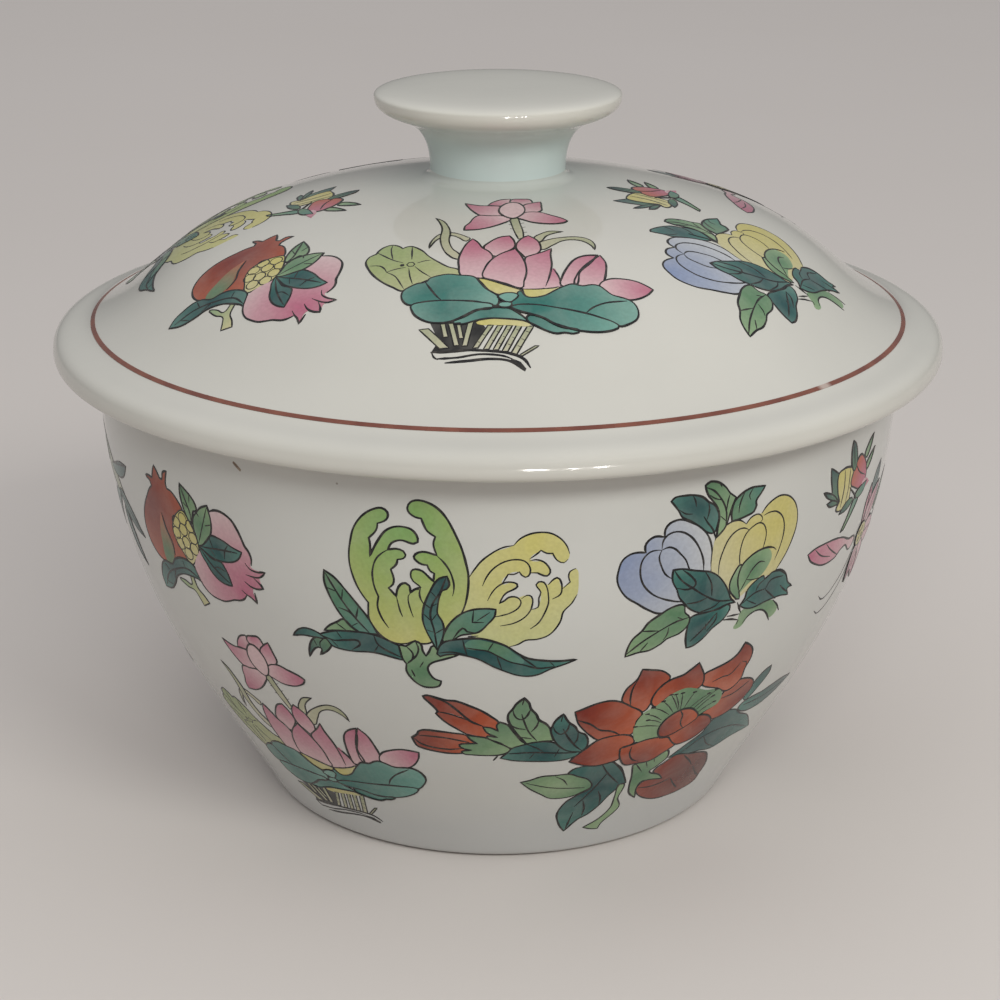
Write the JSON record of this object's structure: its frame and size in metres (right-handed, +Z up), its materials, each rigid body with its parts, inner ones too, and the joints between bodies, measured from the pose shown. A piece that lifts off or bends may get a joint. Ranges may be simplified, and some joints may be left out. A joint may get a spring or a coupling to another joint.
{
  "type": "lidded bowl",
  "caption": "Deep round porcelain bowl with a domed, overhanging lid, a mushroom knob and painted fruit and flower sprays.",
  "frame": {"origin": "centre of the plane that the foot's standing ring rests on", "axes": "+Z up along the axis that the bowl, lid and knob are turned about; -Y faces the viewer of the main view, with the lotus basket of the lid at the front"},
  "size_m": [0.1904, 0.1904, 0.1539],
  "materials": {
    "white_glaze": "glossy clear glaze over white porcelain, faintly cool, with fine orange-peel and a few specks",
    "pooled_glaze": "the same glaze where it has run and pooled, pale blue-green",
    "iron_red_enamel": "fired iron-red line, satin, thinner at its edges",
    "colour_enamel": "translucent fired enamels: pink, iron red, yellow, greens, teal and lilac, graded within each shape",
    "outline_enamel": "thin black fired outline, glossy"
  },
  "bodies": {
    "bowl": {"bowl": "white_glaze"},
    "lid": {"lid": "white_glaze", "knob": "pooled_glaze", "lid_line": "iron_red_enamel"}
  },
  "joints": [
    {"name": "lid_lift", "type": "slide", "parent": "bowl", "child": "lid", "axis": [0, 0, 1], "range_m": [0, 0.1]}
  ]
}
